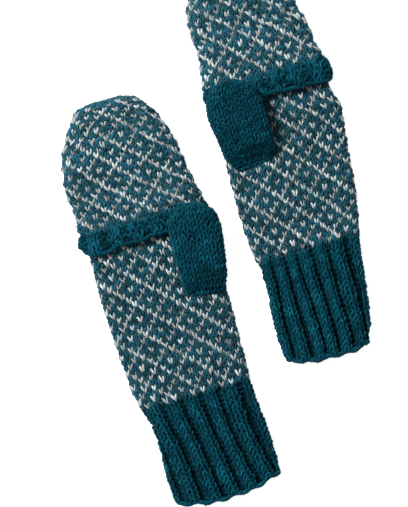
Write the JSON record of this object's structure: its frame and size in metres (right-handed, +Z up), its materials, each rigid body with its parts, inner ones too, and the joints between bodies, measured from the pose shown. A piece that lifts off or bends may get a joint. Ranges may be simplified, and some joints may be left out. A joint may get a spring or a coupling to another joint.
{
  "type": "convertible flip-top mittens",
  "caption": "Pair of hand-knitted mittens with flip caps that fold back off half-finger sleeves, ribbed cuffs and closed thumbs.",
  "frame": {"origin": "middle of the pair's footprint, on the surface they lie on", "axes": "+X across the palms from the right-hand mitten to the left-hand mitten, +Y from the wrists to the fingertips, +Z up out of the palms"},
  "size_m": [0.2156, 0.3818, 0.0278],
  "materials": {
    "rib_knit": "solid teal wool, two-by-two ribbing",
    "teal_knit": "solid teal wool, stocking stitch",
    "flecked_knit": "teal wool with off-white wool in a stranded trellis pattern"
  },
  "bodies": {
    "right_mitten": {"right_cuff": "rib_knit", "right_hand": "flecked_knit", "right_cap_seam": "teal_knit", "right_index_sleeve": "teal_knit", "right_middle_sleeve": "teal_knit", "right_ring_sleeve": "teal_knit", "right_little_sleeve": "teal_knit"},
    "right_flip_cap": {"right_cap": "flecked_knit", "right_cap_hem": "teal_knit"},
    "right_thumb_tube": {"right_thumb": "teal_knit"},
    "left_mitten": {"left_cuff": "rib_knit", "left_hand": "flecked_knit", "left_cap_seam": "teal_knit", "left_index_sleeve": "teal_knit", "left_middle_sleeve": "teal_knit", "left_ring_sleeve": "teal_knit", "left_little_sleeve": "teal_knit"},
    "left_flip_cap": {"left_cap": "flecked_knit", "left_cap_hem": "teal_knit"},
    "left_thumb_tube": {"left_thumb": "teal_knit"}
  },
  "joints": [
    {"name": "left_mitten_lift", "type": "slide", "parent": "right_mitten", "child": "left_mitten", "axis": [0, 0, 1], "range_m": [0, 0.12]},
    {"name": "right_cap_flip", "type": "hinge", "parent": "right_mitten", "child": "right_flip_cap", "pos_m": [-0.0578, 0.02365, -0.0002], "axis": [-1, 0, 0], "range_deg": [0, 175], "deforming": ["right_cap_hem", "right_index_sleeve", "right_middle_sleeve", "right_ring_sleeve", "right_little_sleeve"]},
    {"name": "right_thumb_lift", "type": "hinge", "parent": "right_mitten", "child": "right_thumb_tube", "pos_m": [-0.0266, -0.04235, 0.01235], "axis": [0.9957, -0.0928, 0], "range_deg": [0, 80]},
    {"name": "left_cap_flip", "type": "hinge", "parent": "left_mitten", "child": "left_flip_cap", "pos_m": [0.0588, 0.09885, -0.0002], "axis": [-1, 0, 0], "range_deg": [0, 175], "deforming": ["left_cap_hem", "left_index_sleeve", "left_middle_sleeve", "left_ring_sleeve", "left_little_sleeve"]},
    {"name": "left_thumb_lift", "type": "hinge", "parent": "left_mitten", "child": "left_thumb_tube", "pos_m": [0.0338, 0.03785, 0.01235], "axis": [0.9976, 0.0695, 0], "range_deg": [0, 80]}
  ]
}
